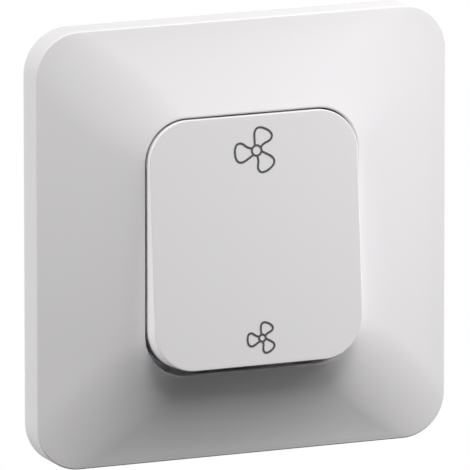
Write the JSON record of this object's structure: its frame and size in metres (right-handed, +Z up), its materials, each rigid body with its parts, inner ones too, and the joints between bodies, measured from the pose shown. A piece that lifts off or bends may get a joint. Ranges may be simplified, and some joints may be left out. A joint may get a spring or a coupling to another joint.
{
  "type": "ventilation control switch",
  "caption": "Flush wall switch for a ventilation fan: square flared plate and a rocker key that tilts between high and low speed.",
  "frame": {"origin": "centre of the four box screw slots, in the plane of the wall's surface", "axes": "+Z up the wall, +X to the right seen from the room, +Y into the wall, so the front faces -Y"},
  "size_m": [0.084, 0.0384, 0.084],
  "materials": {
    "plate_plastic": "satin white moulding",
    "key_plastic": "satin white moulding",
    "mark_ink": "printed ink",
    "galvanised_steel": "galvanised",
    "housing_plastic": "moulded light grey",
    "cover_plastic": "moulded white",
    "cradle_plastic": "moulded white",
    "plunger_plastic": "acetal",
    "screw_steel": "zinc plated",
    "spring_steel": "drawn wire",
    "contact_brass": "stamped",
    "terminal_brass": "machined",
    "contact_silver": "silver alloy"
  },
  "bodies": {
    "fixed": {"cover_plate": "plate_plastic", "mounting_frame": "galvanised_steel", "mechanism_base": "housing_plastic", "mechanism_cover": "cover_plastic", "cover_screws": "screw_steel", "fixed_contact_tips": "contact_silver", "high_speed_contact": "contact_brass", "low_speed_contact": "contact_brass", "common_contact": "contact_brass", "high_speed_terminal": "terminal_brass", "low_speed_terminal": "terminal_brass", "common_terminal": "terminal_brass", "terminal_screws": "screw_steel"},
    "key": {"rocker": "key_plastic", "high_speed_mark": "mark_ink", "low_speed_mark": "mark_ink", "cradle": "cradle_plastic", "plunger_spring": "spring_steel"},
    "plunger": {"plunger": "plunger_plastic"},
    "lever": {"contact_lever": "contact_brass", "moving_contact_tips": "contact_silver"}
  },
  "joints": [
    {"name": "rocker_tilt", "type": "hinge", "parent": "fixed", "child": "key", "pos_m": [0, -0.0041, 0], "axis": [1, 0, 0], "range_deg": [0, 9]},
    {"name": "plunger_slide", "type": "slide", "parent": "key", "child": "plunger", "axis": [0, -0.9969, 0.0785], "range_m": [0, 0.0005], "stiffness_N_per_m": 300, "springref_m": -0.002, "deforming": ["plunger_spring"]},
    {"name": "contact_tilt", "type": "hinge", "parent": "fixed", "child": "lever", "pos_m": [0, 0.0105, 0], "axis": [1, 0, 0], "range_deg": [-13.5, 0]}
  ],
  "couplings": [
    {"joint": "contact_tilt", "follows": "rocker_tilt", "ratio": -1.5}
  ]
}
